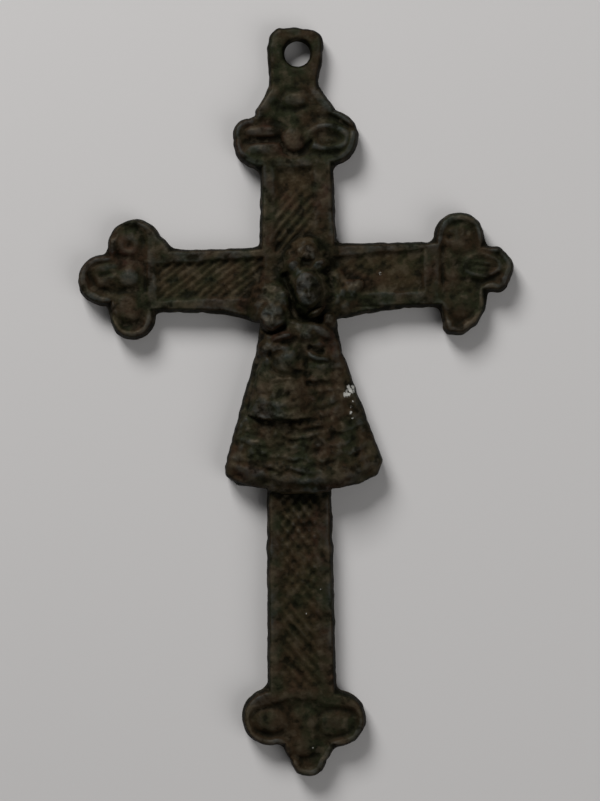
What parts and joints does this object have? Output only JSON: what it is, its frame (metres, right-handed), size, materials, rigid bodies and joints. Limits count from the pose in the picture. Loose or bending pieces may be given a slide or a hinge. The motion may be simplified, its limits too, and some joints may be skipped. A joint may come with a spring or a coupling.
{
  "type": "pilgrim cross",
  "caption": "Small cast bronze pilgrim cross pendant with trefoil arms, a pierced eye for hanging and a robed figure holding a child in relief at the crossing.",
  "frame": {"origin": "middle of the outline, on the flat back that it lies on", "axes": "+Y along the shaft towards the eye, +X along the right arm as seen from the front, +Z out of the front"},
  "size_m": [0.0364, 0.0624, 0.0049],
  "materials": {
    "cast_bronze": "dark brown patina with green and reddish patches, worn satin on the high places"
  },
  "bodies": {
    "root": {"pilgrim_cross": "cast_bronze"}
  },
  "joints": []
}
